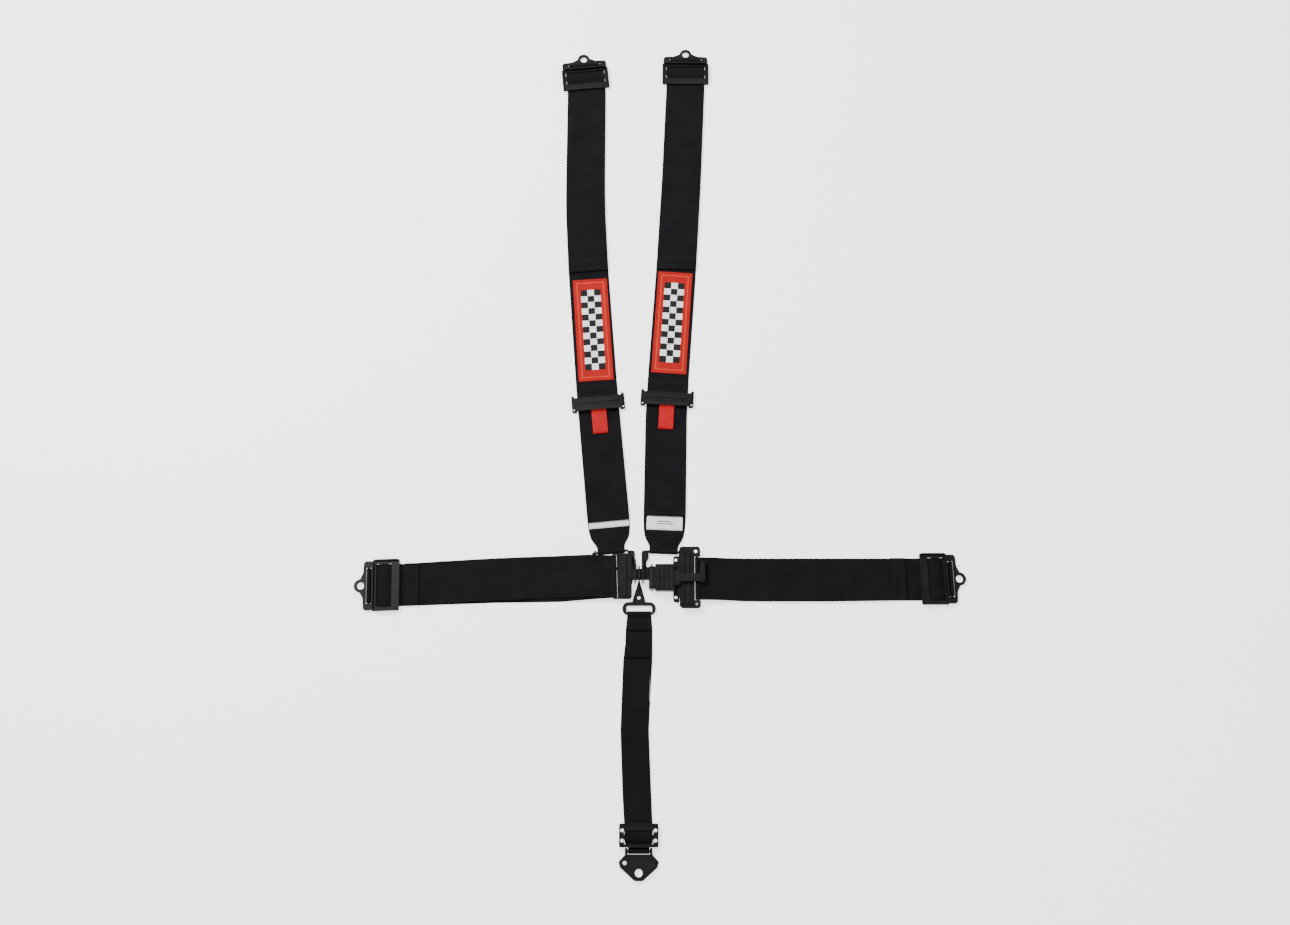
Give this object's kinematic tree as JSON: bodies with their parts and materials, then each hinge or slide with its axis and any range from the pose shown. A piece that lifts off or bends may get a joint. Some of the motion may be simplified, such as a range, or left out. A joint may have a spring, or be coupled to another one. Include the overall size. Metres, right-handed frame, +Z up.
{
  "type": "racing harness",
  "caption": "Latch-and-link racing harness laid flat: shoulder, lap and crotch webbing belts with adjusters, a lever latch in the middle and bolt-in anchor brackets.",
  "frame": {"origin": "middle of the bounding box, on the floor the harness lies on", "axes": "+Y up the shoulder belts, +X towards the latch's lap belt, +Z up off the floor"},
  "size_m": [1.0824, 1.5944, 0.0252],
  "materials": {
    "webbing": "matt black woven polyester",
    "black_steel": "satin black coated steel",
    "bright_steel": "plain steel",
    "pull_tab": "red woven tape",
    "patch": "red sewn patch",
    "label": "white sewn label"
  },
  "bodies": {
    "latch": {"latch_frame": "black_steel", "lever_pin": "bright_steel", "adjuster_rivet": "bright_steel", "lever_spring": "bright_steel", "tongue_plate": "black_steel"},
    "lever": {"latch_lever": "black_steel"},
    "shoulder_left_link_body": {"shoulder_left_link": "black_steel"},
    "shoulder_left_lower": {"shoulder_left_lower_webbing": "webbing", "shoulder_left_care_label": "label", "shoulder_left_lock_bar": "black_steel"},
    "shoulder_left_adjuster": {"shoulder_left_adjuster_frame": "black_steel"},
    "shoulder_left_tab": {"shoulder_left_pull_tab": "pull_tab"},
    "shoulder_left_upper": {"shoulder_left_upper_webbing": "webbing", "shoulder_left_patch": "patch", "shoulder_left_slide": "black_steel"},
    "shoulder_left_bracket": {"shoulder_left_anchor": "black_steel"},
    "shoulder_right_link_body": {"shoulder_right_link": "black_steel"},
    "shoulder_right_lower": {"shoulder_right_lower_webbing": "webbing", "shoulder_right_care_label": "label", "shoulder_right_lock_bar": "black_steel"},
    "shoulder_right_adjuster": {"shoulder_right_adjuster_frame": "black_steel"},
    "shoulder_right_tab": {"shoulder_right_pull_tab": "pull_tab"},
    "shoulder_right_upper": {"shoulder_right_upper_webbing": "webbing", "shoulder_right_patch": "patch", "shoulder_right_slide": "black_steel"},
    "shoulder_right_bracket": {"shoulder_right_anchor": "black_steel"},
    "lap_left_belt": {"lap_left_webbing": "webbing", "lap_left_slide": "black_steel"},
    "lap_left_bracket": {"lap_left_anchor": "black_steel"},
    "lap_right_belt": {"lap_right_webbing": "webbing", "lap_right_slide": "black_steel"},
    "lap_right_bracket": {"lap_right_anchor": "black_steel"},
    "crotch_link_body": {"crotch_link": "black_steel"},
    "crotch_belt": {"crotch_webbing": "webbing", "crotch_label": "label", "crotch_slide": "black_steel"},
    "crotch_bracket": {"crotch_anchor": "black_steel"}
  },
  "joints": [
    {"name": "lever_release", "type": "hinge", "parent": "latch", "child": "lever", "pos_m": [-0.01501, -0.2891, 0.0189], "axis": [0, -1, 0], "range_deg": [0, 100]},
    {"name": "shoulder_left_link_swing", "type": "hinge", "parent": "latch", "child": "shoulder_left_link_body", "pos_m": [-0.04421, -0.282, 0.012], "axis": [0, 0, 1], "range_deg": [-2, 4]},
    {"name": "shoulder_left_belt_lift", "type": "hinge", "parent": "shoulder_left_link_body", "child": "shoulder_left_lower", "pos_m": [-0.08681, -0.2395, 0.0043], "axis": [0.9957, 0.0924, 0], "range_deg": [0, 60]},
    {"name": "shoulder_left_adjuster_tilt", "type": "hinge", "parent": "shoulder_left_lower", "child": "shoulder_left_adjuster", "pos_m": [-0.11395, 0.05007, 0.0043], "axis": [-0.9957, -0.0924, 0], "range_deg": [0, 30]},
    {"name": "shoulder_left_tab_flip", "type": "hinge", "parent": "shoulder_left_adjuster", "child": "shoulder_left_tab", "pos_m": [-0.11201, 0.02916, 0.0073], "axis": [-0.9957, -0.0924, 0], "range_deg": [0, 40]},
    {"name": "shoulder_left_belt_fold", "type": "hinge", "parent": "shoulder_left_lower", "child": "shoulder_left_upper", "pos_m": [-0.11395, 0.05007, 0.0043], "axis": [0.9957, 0.0924, 0], "range_deg": [0, 25]},
    {"name": "shoulder_left_bracket_tilt", "type": "hinge", "parent": "shoulder_left_upper", "child": "shoulder_left_bracket", "pos_m": [-0.14861, 0.7593, 0.0043], "axis": [0.9952, 0.0976, 0], "range_deg": [0, 45]},
    {"name": "shoulder_right_link_swing", "type": "hinge", "parent": "latch", "child": "shoulder_right_link_body", "pos_m": [-0.03031, -0.282, 0.012], "axis": [0, 0, 1], "range_deg": [-4, 2]},
    {"name": "shoulder_right_belt_lift", "type": "hinge", "parent": "shoulder_right_link_body", "child": "shoulder_right_lower", "pos_m": [0.00619, -0.2395, 0.0043], "axis": [0.9993, -0.0384, 0], "range_deg": [0, 60]},
    {"name": "shoulder_right_adjuster_tilt", "type": "hinge", "parent": "shoulder_right_lower", "child": "shoulder_right_adjuster", "pos_m": [0.01464, 0.05849, 0.0043], "axis": [-0.9984, 0.0558, 0], "range_deg": [0, 30]},
    {"name": "shoulder_right_tab_flip", "type": "hinge", "parent": "shoulder_right_adjuster", "child": "shoulder_right_tab", "pos_m": [0.01346, 0.03752, 0.0073], "axis": [-0.9984, 0.0558, 0], "range_deg": [0, 40]},
    {"name": "shoulder_right_belt_fold", "type": "hinge", "parent": "shoulder_right_lower", "child": "shoulder_right_upper", "pos_m": [0.01464, 0.05849, 0.0043], "axis": [0.9984, -0.0558, 0], "range_deg": [0, 25]},
    {"name": "shoulder_right_bracket_tilt", "type": "hinge", "parent": "shoulder_right_upper", "child": "shoulder_right_bracket", "pos_m": [0.05459, 0.7707, 0.0043], "axis": [0.9999, -0.0105, 0], "range_deg": [0, 45]},
    {"name": "lap_left_belt_lift", "type": "hinge", "parent": "latch", "child": "lap_left_belt", "pos_m": [-0.08061, -0.285, 0.012], "axis": [-0.0366, 0.9993, 0], "range_deg": [0, 60]},
    {"name": "lap_left_bracket_tilt", "type": "hinge", "parent": "lap_left_belt", "child": "lap_left_bracket", "pos_m": [-0.51471, -0.3007, 0.0043], "axis": [-0.0366, 0.9993, 0], "range_deg": [0, 45]},
    {"name": "lap_right_belt_lift", "type": "hinge", "parent": "latch", "child": "lap_right_belt", "pos_m": [0.06549, -0.2888, 0.012], "axis": [0.0017, -1, 0], "range_deg": [0, 28]},
    {"name": "lap_right_bracket_tilt", "type": "hinge", "parent": "lap_right_belt", "child": "lap_right_bracket", "pos_m": [0.51469, -0.2886, 0.0043], "axis": [0.0017, -1, 0], "range_deg": [0, 45]},
    {"name": "crotch_link_swing", "type": "hinge", "parent": "latch", "child": "crotch_link_body", "pos_m": [-0.03731, -0.282, 0.012], "axis": [0, 0, 1], "range_deg": [-4, 4]},
    {"name": "crotch_belt_lift", "type": "hinge", "parent": "crotch_link_body", "child": "crotch_belt", "pos_m": [-0.03691, -0.3502, 0.0043], "axis": [-1, 0, 0], "range_deg": [0, 60]},
    {"name": "crotch_bracket_tilt", "type": "hinge", "parent": "crotch_belt", "child": "crotch_bracket", "pos_m": [-0.03721, -0.7499, 0.0043], "axis": [-1, 0, 0], "range_deg": [0, 45]}
  ]
}
